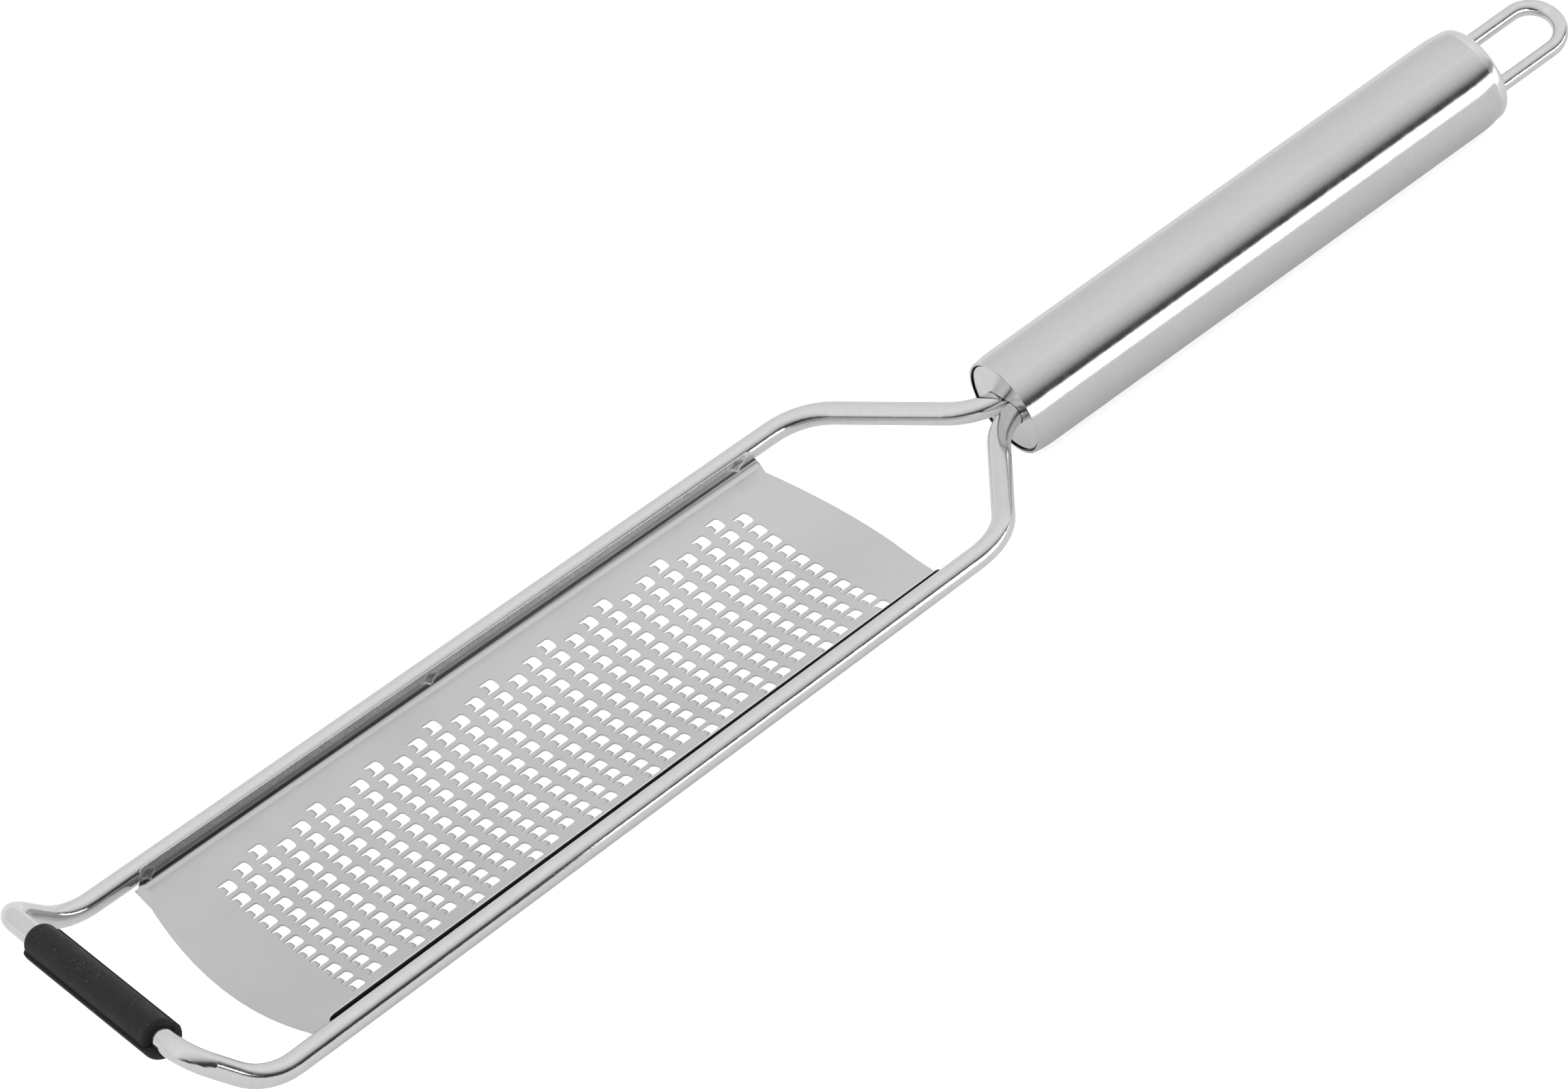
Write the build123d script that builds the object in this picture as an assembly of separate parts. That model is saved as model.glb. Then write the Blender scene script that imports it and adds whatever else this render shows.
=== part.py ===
from build123d import *
import os
from math import atan2, cos, degrees, radians, sqrt, tan

# Rasp zester: a bent wire frame, a toothed steel blade welded between its rails,
# a rubber foot on the nose, a tube handle with two end plugs and a hanging loop.
# X runs from the loop to the nose and Y across the blade. The teeth point to -Z.
# The origin is on the floor under the middle, and all sizes are millimetres.

# Wire frame
wire_diameter = 4.0
leg_gap = 0.1
leg_insertion = 16.0
neck_length = 21.9
neck_rise = 1.5
rail_length = 152.5
rail_half_width_at_neck = 29.4
rail_half_width_at_nose = 32.1
nose_reach = 9.3
nose_rise = 11.3
crossbar_half_width = 28.8
join_before_handle = 3.0
join_bend_radius = 12.5
neck_bend_radius = 12.0
nose_bend_radius = 11.5
corner_bend_radius = 6.0

# Blade
sheet_thickness = 0.3
blade_length = 128.1
blade_setback = 12.0
end_bulge = 3.0
ear_length_at_neck = 1.2
ear_length_at_nose = 0.4
ear_width = 2.4
trough_depth = 3.3
crease_drop = 1.3
flange_rise = 1.6
flange_setback = 1.5
flange_corner_radius = 0.8
weld_gap = 0.04

# Teeth, in rows across the blade, each row shifted sideways from the one before
row_count = 28
column_count = 11
row_pitch = 4.0
column_pitch = 4.0
shift_steps = 3
first_row_inset = 9.2
hole_width = 3.0
hole_length = 2.65
hole_lead_share = 0.467
tooth_root_width = 1.8
tooth_tip_width = 1.15
tooth_length = 1.1
tooth_drop = 0.5
tooth_root_thickness = 0.24

# Rubber foot on the crossbar, with a larger half on the side of the teeth
foot_radius = 3.1
shoe_radius = 3.6
foot_length = 39.0
shoe_overhang = 1.2
foot_offset = 2.2
foot_edge_radius = 1.1
shoe_edge_radius = 1.4
foot_bore_clearance = 0.03

# Handle
handle_length = 106.0
handle_diameter = 18.5
handle_wall = 0.4
mouth_narrowing = 0.35
mouth_curl_length = 3.5
plug_recess = 0.3
plug_gap = 0.35
plug_fit = 0.03
plug_length = 8.0
leg_slot_clearance = 0.12
cap_length = 2.4
cap_edge_radius = 1.9
cap_spigot_length = 7.0

# Hanging loop, turned about the handle's axis
loop_wire_diameter = 2.8
loop_reach = 19.0
loop_leg_spacing = 10.1
loop_insertion = 6.0
loop_turn_degrees = 24.0
loop_hole_clearance = 0.03

# Overrun of cutting solids past the faces that they cut
overrun = 5.0

# Places along X, with the whole length centred on the origin
total_length = loop_reach + handle_length + neck_length + rail_length + nose_reach + shoe_radius
loop_tip_x = -total_length / 2
handle_rear_x = loop_tip_x + loop_reach
mouth_x = handle_rear_x + handle_length
neck_x = mouth_x + neck_length
nose_x = neck_x + rail_length
crossbar_x = nose_x + nose_reach
join_x = mouth_x + join_before_handle
blade_rear_x = neck_x + blade_setback
blade_front_x = blade_rear_x + blade_length
first_row_x = blade_rear_x + first_row_inset

# Heights, with the wire's legs on the handle's axis and its rails a little above
handle_radius = handle_diameter / 2
axis_z = handle_radius
rail_z = axis_z + neck_rise
crossbar_z = rail_z + nose_rise
wire_radius = wire_diameter / 2
leg_y = wire_radius + leg_gap / 2

# The rails open slightly towards the nose
rail_slope = (rail_half_width_at_nose - rail_half_width_at_neck) / rail_length
rail_angle = degrees(atan2(rail_slope, 1))
seat_offset = (wire_radius + weld_gap) / cos(radians(rail_angle))
fold_offset = seat_offset + sheet_thickness / cos(radians(rail_angle))

# The blade is a shallow trough, a slice of a wide cylinder
crease_half_width = rail_half_width_at_nose - fold_offset
trough_radius = (crease_half_width**2 + trough_depth**2) / (2 * trough_depth)
trough_bottom_z = rail_z - crease_drop - trough_depth


def rail_y(x):
    """Half width of the frame at a place along the rails."""
    return rail_half_width_at_neck + rail_slope * (x - neck_x)


def trough_z(y):
    """Height of the blade's hollow face at a distance from the middle."""
    return trough_bottom_z + trough_radius - sqrt(trough_radius**2 - y**2)


def leg_spread(x):
    """How far a leg has already bent outwards at a place near the mouth."""
    turn = atan2(rail_half_width_at_neck - leg_y, neck_x - join_x)
    bend_start_x = join_x - join_bend_radius * tan(turn / 2)
    inner_radius = join_bend_radius - wire_radius
    run = max(x - bend_start_x, 0)
    return inner_radius - sqrt(inner_radius**2 - run**2)


def frame_wire():
    """One wire, bent from the handle round the nose and back to the handle."""
    leg_end_x = mouth_x - leg_insertion
    near_half = [
        (leg_end_x, leg_y, axis_z),
        (join_x, leg_y, axis_z),
        (neck_x, rail_half_width_at_neck, rail_z),
        (nose_x, rail_half_width_at_nose, rail_z),
        (crossbar_x, crossbar_half_width, crossbar_z),
    ]
    far_half = [(x, -y, z) for x, y, z in reversed(near_half)]
    bends = [join_bend_radius, neck_bend_radius, nose_bend_radius, corner_bend_radius]
    path = FilletPolyline(*near_half, *far_half, radius=bends + bends[::-1])
    section = Plane(origin=path @ 0, z_dir=path % 0) * Circle(wire_radius)
    return sweep(section, path=path)


def blade_outline():
    """The blade seen from above, between the two folds, with an ear at each corner."""
    rear_y = rail_y(blade_rear_x) - seat_offset
    front_y = rail_y(blade_front_x) - seat_offset
    ear_rear_x = blade_rear_x - ear_length_at_neck
    ear_front_x = blade_front_x + ear_length_at_nose
    rear_corner = (blade_rear_x, rear_y - ear_width)
    front_corner = (blade_front_x, front_y - ear_width)
    edges = [
        ThreePointArc((rear_corner[0], -rear_corner[1]), (blade_rear_x - end_bulge, 0), rear_corner),
        Line(rear_corner, (ear_rear_x, rear_y)),
        Line((ear_rear_x, rear_y), (ear_front_x, front_y)),
        Line((ear_front_x, front_y), front_corner),
        ThreePointArc(front_corner, (blade_front_x + end_bulge, 0), (front_corner[0], -front_corner[1])),
        Line((front_corner[0], -front_corner[1]), (ear_front_x, -front_y)),
        Line((ear_front_x, -front_y), (ear_rear_x, -rear_y)),
        Line((ear_rear_x, -rear_y), (rear_corner[0], -rear_corner[1])),
    ]
    return make_face(Wire(edges))


def trough_section(side_y):
    """The curved sheet in section, out to a distance on each side."""
    side_z = trough_z(side_y)
    drop = sheet_thickness * sqrt(1 - (side_y / trough_radius)**2)
    spread = sheet_thickness * side_y / trough_radius
    low_z = trough_bottom_z - sheet_thickness
    outer_y = side_y + spread
    outer_z = side_z - drop
    edges = [
        ThreePointArc((-side_y, side_z), (0, trough_bottom_z), (side_y, side_z)),
        Line((side_y, side_z), (outer_y, outer_z)),
        ThreePointArc((outer_y, outer_z), (0, low_z), (-outer_y, outer_z)),
        Line((-outer_y, outer_z), (-side_y, side_z)),
    ]
    return make_face(Wire(edges))


def blank_strip(start_x, end_x):
    """Plain sheet between two places along X, wider than the blade."""
    section = Plane.YZ * trough_section(rail_half_width_at_nose)
    return Pos(start_x, 0, 0) * extrude(section, amount=end_x - start_x)


def flange():
    """The upright edge that is welded along the inside of the rail at +Y."""
    start_x = blade_rear_x + flange_setback
    length = (blade_length - 2 * flange_setback) / cos(radians(rail_angle))
    top_z = rail_z + flange_rise
    height = top_z - trough_bottom_z
    plate = Box(length, sheet_thickness, height, align=(Align.MIN, Align.MAX, Align.MAX))
    plate = fillet(plate.edges().filter_by(Axis.Y).group_by(Axis.Z)[-1], flange_corner_radius)
    plate = Pos(start_x, rail_y(start_x) - seat_offset, top_z) * Rot(0, 0, rail_angle) * plate
    drum = Cylinder(trough_radius + sheet_thickness / 2, 2 * blade_length, rotation=(0, 90, 0))
    return plate & Pos(start_x, 0, trough_bottom_z + trough_radius) * drum


def tooth_places(rows):
    """Middle of each hole in the first few rows, each row stepped sideways from the last."""
    for row in range(rows):
        step = (row - 1) % shift_steps - (shift_steps - 1) / 2
        for column in range(column_count):
            place = column - (column_count - 1) / 2
            yield row * row_pitch, (place + step / shift_steps) * column_pitch


def hole_cutter():
    """Block that pierces one hole, with its root edge to the nose."""
    block = Box(hole_length, hole_width, 4 * sheet_thickness, align=(Align.MIN, Align.CENTER, Align.CENTER))
    return Pos(-hole_length * hole_lead_share, 0, 0) * block


def tooth():
    """A tongue bent down from the root edge of its hole, with a sharp tip to the handle."""
    root = hole_length * (1 - hole_lead_share)
    tip = root - tooth_length
    top_z = (tooth_root_thickness - sheet_thickness) / 2
    low_z = top_z - tooth_root_thickness
    profile = Polyline(
        (root, top_z),
        (tip, (top_z + low_z) / 2 - tooth_drop),
        (root, low_z),
        close=True,
    )
    plan = Polyline(
        (root, tooth_root_width / 2),
        (tip, tooth_tip_width / 2),
        (tip, -tooth_tip_width / 2),
        (root, -tooth_root_width / 2),
        close=True,
    )
    strip = extrude(Plane.XZ * make_face(profile), amount=tooth_root_width, both=True)
    return strip & extrude(make_face(plan), amount=2 * tooth_length, both=True)


def seated(piece, x, y):
    """A piece set on the hollow face, square to it."""
    tilt = degrees(atan2(y, sqrt(trough_radius**2 - y**2)))
    return Pos(x, y, trough_z(y)) * Rot(tilt, 0, 0) * piece


def toothed_strip(rows):
    """A strip of the trough with a few rows, pierced and then given its teeth."""
    places = list(tooth_places(rows))
    cutter = hole_cutter()
    tongue = tooth()
    strip = blank_strip(-row_pitch / 2, (rows - 1 / 2) * row_pitch)
    pierced = strip - [seated(cutter, x, y) for x, y in places]
    return pierced + [seated(tongue, x, y) for x, y in places]


def grating_blade():
    """The trough, built up in like strips of rows, with a flange along each rail."""
    first_edge_x = first_row_x - row_pitch / 2
    last_edge_x = first_edge_x + row_count * row_pitch
    strips = [blank_strip(last_edge_x, blade_front_x + end_bulge + overrun)]
    group = toothed_strip(shift_steps)
    group_count, odd_rows = divmod(row_count, shift_steps)
    for index in range(group_count):
        strips.append(Pos(first_row_x + index * shift_steps * row_pitch, 0, 0) * group)
    if odd_rows:
        odd_x = first_row_x + group_count * shift_steps * row_pitch
        strips.append(Pos(odd_x, 0, 0) * toothed_strip(odd_rows))
    sheet = blank_strip(blade_rear_x - end_bulge - overrun, first_edge_x) + strips
    column = extrude(blade_outline(), amount=2 * rail_z, both=True)
    near_flange = flange()
    return (sheet & column) + [near_flange, mirror(near_flange, about=Plane.XZ)]


def foot_sleeve():
    """Rubber sleeve on the crossbar, in two half rounds of different size."""
    upper = Cylinder(foot_radius, foot_length, rotation=(90, 0, 0))
    upper = fillet(upper.edges().filter_by(GeomType.CIRCLE), foot_edge_radius)
    lower_length = foot_length + shoe_overhang
    lower = Cylinder(shoe_radius, lower_length, rotation=(90, 0, 0))
    lower = fillet(lower.edges().filter_by(GeomType.CIRCLE), shoe_edge_radius)
    lower = Pos(0, shoe_overhang / 2, 0) * lower
    half_space = Pos(0, shoe_overhang / 2, -shoe_radius) * Box(
        2 * (shoe_radius + overrun), lower_length + 2 * overrun, 2 * shoe_radius
    )
    body = upper + (lower & half_space)
    bore = Cylinder(
        wire_radius + foot_bore_clearance, lower_length + 2 * overrun, rotation=(90, 0, 0)
    )
    return Pos(crossbar_x, foot_offset, crossbar_z) * (body - bore)


def handle_section(radius):
    """Half outline of a round bar from the cap's seam to the mouth, with drawn-in ends."""
    rear_x = handle_rear_x + cap_length
    end_radius = radius - mouth_narrowing
    edges = [
        Line((rear_x, 0), (rear_x, end_radius)),
        TangentArc(
            (rear_x + mouth_curl_length, radius), (rear_x, end_radius), tangent=(-1, 0)
        ),
        Line((rear_x + mouth_curl_length, radius), (mouth_x - mouth_curl_length, radius)),
        TangentArc((mouth_x - mouth_curl_length, radius), (mouth_x, end_radius), tangent=(1, 0)),
        Line((mouth_x, end_radius), (mouth_x, 0)),
        Line((mouth_x, 0), (rear_x, 0)),
    ]
    return make_face(Wire(edges))


def turned(section):
    """A section turned about the handle's axis."""
    return Pos(0, 0, axis_z) * revolve(Plane.XZ * section, axis=Axis.X)


def handle_tube():
    """The tube of the handle, open at both ends."""
    return turned(handle_section(handle_radius) - handle_section(handle_radius - handle_wall))


def front_plug():
    """The plug that fills the handle's mouth and grips the two wire legs."""
    mouth_radius = handle_radius - handle_wall - mouth_narrowing
    face_radius = mouth_radius - plug_gap
    body_radius = handle_radius - handle_wall - plug_fit
    face_x = mouth_x - plug_recess
    shoulder_x = mouth_x - mouth_curl_length - plug_gap
    back_x = mouth_x - plug_length
    section = Polyline(
        (face_x, 0),
        (face_x, face_radius),
        (shoulder_x, face_radius),
        (shoulder_x, body_radius),
        (back_x, body_radius),
        (back_x, 0),
        close=True,
    )
    slot_radius = wire_radius + leg_slot_clearance
    slot = SlotCenterToCenter(2 * (leg_y + leg_spread(face_x)), 2 * slot_radius)
    slot = extrude(Plane.YZ * slot, amount=plug_length + 2 * overrun)
    return turned(make_face(section)) - Pos(back_x - overrun, 0, axis_z) * slot


def loop_path():
    """Line of the hanging loop's wire: two legs and a half turn."""
    half = loop_leg_spacing / 2
    end_x = handle_rear_x + cap_length + loop_insertion
    turn_x = loop_tip_x + loop_wire_diameter / 2 + half
    legs = [Line((end_x, half), (turn_x, half)), Line((turn_x, -half), (end_x, -half))]
    bow = ThreePointArc((turn_x, half), (turn_x - half, 0), (turn_x, -half))
    return Wire([legs[0], bow, legs[1]])


def turned_loop(radius):
    """The loop's wire at a given radius, turned about the handle's axis."""
    path = loop_path()
    section = Plane(origin=path @ 0, z_dir=path % 0) * Circle(radius)
    return Pos(0, 0, axis_z) * Rot(-loop_turn_degrees, 0, 0) * sweep(section, path=path)


def hanging_loop():
    """Wire loop whose legs pass through the rear cap."""
    return turned_loop(loop_wire_diameter / 2)


def rear_cap():
    """Domed cap with a spigot that fits into the tube, bored for the loop's legs."""
    seam_x = handle_rear_x + cap_length
    seam_radius = handle_radius - mouth_narrowing
    mouth_radius = seam_radius - handle_wall - plug_fit
    disc = Cylinder(seam_radius, cap_length, rotation=(0, 90, 0))
    rim = disc.edges().filter_by(GeomType.CIRCLE).sort_by(Axis.X)[0]
    disc = Pos(seam_x - cap_length / 2, 0, 0) * fillet(rim, cap_edge_radius)
    spigot = Cylinder(mouth_radius, cap_spigot_length, rotation=(0, 90, 0))
    spigot = Pos(seam_x + cap_spigot_length / 2, 0, 0) * spigot
    body = Pos(0, 0, axis_z) * (disc + spigot)
    return body - turned_loop(loop_wire_diameter / 2 + loop_hole_clearance)


nodes = {
    "frame_wire": frame_wire,
    "grating_blade": grating_blade,
    "foot_sleeve": foot_sleeve,
    "handle_tube": handle_tube,
    "front_plug": front_plug,
    "rear_cap": rear_cap,
    "hanging_loop": hanging_loop,
}

os.makedirs("parts", exist_ok=True)
for name, build in nodes.items():
    export_step(build(), f"parts/{name}.step")
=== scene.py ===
"""Rasp zester: the pierced blade, the steel and rubber finishes, and a pale studio."""
import math

import bmesh
import bpy
from bpy.props import FloatProperty, FloatVectorProperty, IntProperty, PointerProperty
from mathutils import Matrix, Vector


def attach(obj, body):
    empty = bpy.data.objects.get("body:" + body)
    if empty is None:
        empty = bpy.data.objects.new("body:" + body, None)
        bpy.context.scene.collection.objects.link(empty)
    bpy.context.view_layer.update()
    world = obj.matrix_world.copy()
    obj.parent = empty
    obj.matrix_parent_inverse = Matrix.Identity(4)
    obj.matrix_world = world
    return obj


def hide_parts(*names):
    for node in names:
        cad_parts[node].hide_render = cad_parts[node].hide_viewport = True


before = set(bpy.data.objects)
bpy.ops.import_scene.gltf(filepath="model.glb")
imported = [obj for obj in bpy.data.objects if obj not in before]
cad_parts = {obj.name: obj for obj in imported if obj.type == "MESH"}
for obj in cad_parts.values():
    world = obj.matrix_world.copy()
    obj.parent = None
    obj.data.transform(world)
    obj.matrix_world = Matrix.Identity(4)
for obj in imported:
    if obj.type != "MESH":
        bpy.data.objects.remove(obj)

bl_info = {
    "name": "Rasp Zester",
    "version": (1, 0, 0),
    "blender": (4, 5, 0),
    "location": "View3D > Sidebar > Zester",
    "description": "Pierced blade, steel and rubber finishes and a studio for a rasp zester",
    "category": "Add Mesh",
}

MM = 0.001

# Places that the blade shares with the wire frame
NECK_X = -9.25 * MM
NECK_HALF_WIDTH = 29.4 * MM
RAIL_SPREAD = 0.017705  # how much further out a rail stands for each step towards the foot
FLANGE_OFFSET = 2.34 * MM  # from a rail's axis to the inner face of the flange
SEAT_OFFSET = 2.04 * MM  # from a rail's axis to the outer face of the flange
EAR_WIDTH = 2.4 * MM

# Weld spots on both flanges, along the blade in millimetres, and their height
WELD_PLACES = (6.0, 70.5, 128.0)
WELD_HEIGHT = 11.0 * MM


def length(name, description, millimetres):
    """A size in metres that a user can change."""
    return FloatProperty(
        name=name,
        description=description,
        default=millimetres * MM,
        unit="LENGTH",
        subtype="DISTANCE",
        precision=5,
    )


def colour(name, description, value):
    """A colour that a user can change."""
    return FloatVectorProperty(
        name=name, description=description, default=value, subtype="COLOR", size=3, min=0, max=1
    )


def amount(name, description, value, top=1.0):
    """A plain number that a user can change."""
    return FloatProperty(name=name, description=description, default=value, min=0, max=top)


class ZesterBlade(bpy.types.PropertyGroup):
    """Sizes of the pierced blade."""

    rows: IntProperty(name="Rows", description="Rows of holes along the blade", default=28)
    columns: IntProperty(name="Columns", description="Holes in each row", default=11)
    pitch: length("Pitch", "Distance between holes, both ways", 4.0)
    first_row: length("First row", "Place of the row next to the handle", 11.95)
    hole_width: length("Hole width", "Width of a hole across the blade", 3.0)
    lead_reach: length("Lead reach", "From a hole's middle to its arched edge", 1.24)
    root_reach: length("Root reach", "From a hole's middle to the ends of its slots", 1.41)
    tooth_width: length("Tooth width", "Width of a tooth at its root", 1.8)
    tooth_drop: length("Tooth drop", "How far a tooth's tip hangs below the sheet", 0.42)
    sheet: length("Sheet", "Thickness of the steel sheet", 0.3)
    trough_radius: length("Trough radius", "Radius of the bent sheet", 135.84)
    trough_bottom: length("Trough bottom", "Height of the sheet along its middle", 6.15)
    rear_edge: length("Rear edge", "Place of the edge next to the handle, at the rails", 2.75)
    front_edge: length("Front edge", "Place of the edge next to the foot, at the rails", 130.85)
    bulge: length("Bulge", "How far both ends curve outwards", 3.0)
    straight_from: length("Straight from", "Where the rear edge stops curving, from the middle", 12.0)
    rear_ear: length("Rear ear", "How far the corners next to the handle are drawn out", 0.8)
    front_ear: length("Front ear", "How far the corners next to the foot are drawn out", 0.4)
    flange_top: length("Flange top", "Height of the flanges' top edge at the middle", 12.25)
    flange_taper: length("Flange taper", "How much higher the flanges are at the front", 0.45)
    fold_size: length("Fold size", "Where the fold between sheet and flange begins", 1.25)


class ZesterFinish(bpy.types.PropertyGroup):
    """Colours and polish of the steel and the rubber."""

    blade_colour: colour("Blade", "Satin steel of the blade", (0.57, 0.57, 0.565))
    wire_colour: colour("Wire", "Polished steel of the wires", (0.69, 0.69, 0.685))
    handle_colour: colour("Handle", "Brushed steel of the tube", (0.6, 0.6, 0.6))
    plug_colour: colour("Plug", "Polished steel of the disc and the cap", (0.7, 0.7, 0.7))
    rubber_colour: colour("Rubber", "Black rubber of the foot", (0.011, 0.011, 0.011))
    dust_colour: colour("Dust", "Dust on the rubber", (0.3, 0.3, 0.3))
    blade_polish: amount("Blade roughness", "Roughness of the blade", 0.3)
    wire_polish: amount("Wire roughness", "Roughness of the wires", 0.08)
    handle_polish: amount("Handle roughness", "Roughness of the tube", 0.1)
    plug_polish: amount("Plug roughness", "Roughness of the disc", 0.16)
    rubber_polish: amount("Rubber roughness", "Roughness of the rubber", 0.62)


class ZesterStudio(bpy.types.PropertyGroup):
    """Light, floor and camera."""

    floor_colour: colour("Floor", "Colour of the floor", (0.8, 0.8, 0.8))
    floor_lift: amount("Floor lift", "Brightness that the floor adds for the camera", 0.72)
    floor_glow: amount("Floor glow", "Brightness that the floor adds in polished steel", 0.22)
    surround: amount("Surround", "Strength of the soft surround", 1.0, 4)
    card_light: amount("Card", "Brightness of the white card beside the handle", 2.2, 10)
    lens: FloatProperty(name="Lens", description="Focal length", default=171.45, unit="CAMERA")


# Selecting and shaping


def put_down():
    """Leaves edit mode and deselects everything."""
    if bpy.context.object and bpy.context.object.mode != "OBJECT":
        bpy.ops.object.mode_set(mode="OBJECT")
    bpy.ops.object.select_all(action="DESELECT")


def pick_up(*objects):
    """Selects only these objects, the last one active."""
    put_down()
    for item in objects:
        item.select_set(True)
    bpy.context.view_layer.objects.active = objects[-1]
    return objects[-1]


def open_mesh(obj):
    """Goes to edit mode with nothing selected."""
    pick_up(obj)
    bpy.ops.object.mode_set(mode="EDIT")
    bpy.ops.mesh.select_all(action="DESELECT")


def middle(item):
    """The middle of a vertex, an edge or a face."""
    if isinstance(item, bmesh.types.BMVert):
        return item.co
    if isinstance(item, bmesh.types.BMEdge):
        return (item.verts[0].co + item.verts[1].co) / 2
    return item.calc_center_median()


def choose(kind, test):
    """In edit mode, selects the vertices, edges or faces that pass the test, and counts them."""
    bpy.ops.mesh.select_all(action="DESELECT")
    bpy.ops.mesh.select_mode(type=kind)
    mesh = bmesh.from_edit_mesh(bpy.context.object.data)
    items = {"VERT": mesh.verts, "EDGE": mesh.edges, "FACE": mesh.faces}[kind]
    found = [item for item in items if test(item)]
    for item in found:
        item.select_set(True)
    mesh.select_flush_mode()
    bmesh.update_edit_mesh(bpy.context.object.data)
    if not found:
        raise RuntimeError("nothing to select")
    return len(found)


def near(a, b, within=0.02 * MM):
    """True if two places are the same."""
    return abs(a - b) < within


def slide(x=0.0, y=0.0, z=0.0):
    """Moves what is selected."""
    bpy.ops.transform.translate(value=(x, y, z))


def cut(place, normal, keep_both=True):
    """Cuts the whole mesh along a plane, and drops what is in front unless both sides are kept."""
    bpy.ops.mesh.select_all(action="SELECT")
    bpy.ops.mesh.bisect(
        plane_co=place,
        plane_no=Vector(normal).normalized(),
        clear_outer=not keep_both,
        threshold=1e-6,
    )


def plate(name, x0, x1, y0, y1, nx=1, ny=1):
    """A flat grid between two places each way."""
    put_down()
    bpy.ops.mesh.primitive_grid_add(x_subdivisions=nx, y_subdivisions=ny, size=1)
    obj = bpy.context.object
    obj.name = name
    obj.scale = (x1 - x0, y1 - y0, 1)
    obj.location = ((x0 + x1) / 2, (y0 + y1) / 2, 0)
    settle(obj)
    return obj


def settle(obj):
    """Puts an object's place, turn and scale into its mesh."""
    pick_up(obj)
    bpy.ops.object.transform_apply(location=True, rotation=True, scale=True)


def copy_of(obj, x=0.0, y=0.0):
    """A copy with its own mesh, moved along."""
    pick_up(obj)
    bpy.ops.object.duplicate(linked=False)
    twin = bpy.context.object
    twin.location = (x, y, 0)
    settle(twin)
    return twin


def join(*objects):
    """Makes one mesh of several."""
    pick_up(*objects)
    bpy.ops.object.join()
    return bpy.context.object


def repeat(obj, count, x=0.0, y=0.0):
    """Repeats a mesh at equal steps."""
    pick_up(obj)
    steps = obj.modifiers.new("steps", "ARRAY")
    steps.count = count
    steps.use_relative_offset = False
    steps.use_constant_offset = True
    steps.constant_offset_displace = (x, y, 0)
    bpy.ops.object.modifier_apply(modifier=steps.name)


# The pierced blade


def rail_y(x):
    """Distance from the middle to a rail's axis."""
    return NECK_HALF_WIDTH + RAIL_SPREAD * (x - NECK_X)


def tooth_tile(sizes):
    """One square of sheet with its arched hole and bent tooth."""
    half = sizes.pitch / 2
    third = sizes.pitch / 6
    width = sizes.hole_width / 2
    root = sizes.root_reach
    lead = -sizes.lead_reach
    border = plate("tooth_tile", -half, half, -half, half)
    open_mesh(border)
    for side in (-third, third):
        cut((0, side, 0), (0, 1, 0))
    choose("EDGE", lambda e: not e.is_boundary)
    bpy.ops.mesh.delete(type="EDGE_FACE")
    opening = plate("opening", lead, root, -width, width)
    open_mesh(opening)
    slot = sizes.tooth_width / 2
    slot_side = 1.06 * MM
    arch = {0.55 * MM: 0.03, slot: 0.09, slot_side: 0.13, 1.22 * MM: 0.2}
    for place in [0.0, *arch]:
        for side in {place, -place}:
            cut((0, side, 0), (0, 1, 0))
    bpy.ops.mesh.select_all(action="SELECT")
    bpy.ops.mesh.delete(type="ONLY_FACE")
    choose(
        "EDGE",
        lambda e: near(e.verts[0].co.y, e.verts[1].co.y) and abs(middle(e).y) < width * 0.99,
    )
    bpy.ops.mesh.delete(type="EDGE")
    for place, pull in arch.items():
        choose("VERT", lambda v: near(v.co.x, lead) and near(abs(v.co.y), place))
        slide(x=pull * MM)
    choose("VERT", lambda v: near(v.co.x, lead) and near(abs(v.co.y), width))
    slide(x=0.36 * MM)
    bpy.ops.mesh.bevel(offset=0.26 * MM, segments=2, affect="VERTICES")
    choose("VERT", lambda v: near(v.co.x, root) and near(abs(v.co.y), width))
    bpy.ops.mesh.bevel(offset=0.22 * MM, segments=2, affect="VERTICES")
    slot_depth = 0.3 * MM
    choose("VERT", lambda v: near(v.co.x, root) and near(abs(v.co.y), slot))
    slide(x=-slot_depth)
    choose("VERT", lambda v: near(v.co.x, root) and near(abs(v.co.y), slot_side))
    slide(x=-0.07 * MM)
    choose("VERT", lambda v: near(v.co.x, root) and abs(v.co.y) < 0.6 * MM)
    bpy.ops.mesh.dissolve_verts()
    tile = join(opening, border)
    open_mesh(tile)
    bpy.ops.mesh.select_mode(type="EDGE")
    bpy.ops.mesh.select_all(action="SELECT")
    bpy.ops.mesh.bridge_edge_loops()
    bend_tooth(root - slot_depth, sizes.tooth_drop)
    bpy.ops.mesh.select_all(action="SELECT")
    bpy.ops.mesh.normals_make_consistent(inside=False)
    bpy.ops.object.mode_set(mode="OBJECT")
    face_up(tile)
    return tile


def bend_tooth(root_x, drop):
    """Draws the tooth out of its root edge in three bends, narrower and lower each time."""
    # Each bend: its reach in millimetres, its share of the drop, and how much it narrows
    bends = [(0.3, 0.1, 0.95), (0.28, 0.33, 0.86), (0.16, 0.57, 0.72)]
    choose("EDGE", lambda e: e.is_boundary and near(middle(e).x, root_x) and near(middle(e).y, 0))
    x = root_x
    low = 0.0
    for reach, share, narrowing in bends:
        bpy.ops.mesh.extrude_edges_move(
            TRANSFORM_OT_translate={"value": (-reach * MM, 0, -share * drop)}
        )
        x -= reach * MM
        low -= share * drop
        bpy.ops.transform.resize(value=(1, narrowing, 1), center_override=(x, 0, low))
    choose("VERT", lambda v: near(v.co.x, x) and near(v.co.z, low))
    bpy.ops.mesh.bevel(offset=0.13 * MM, segments=1, affect="VERTICES")


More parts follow.
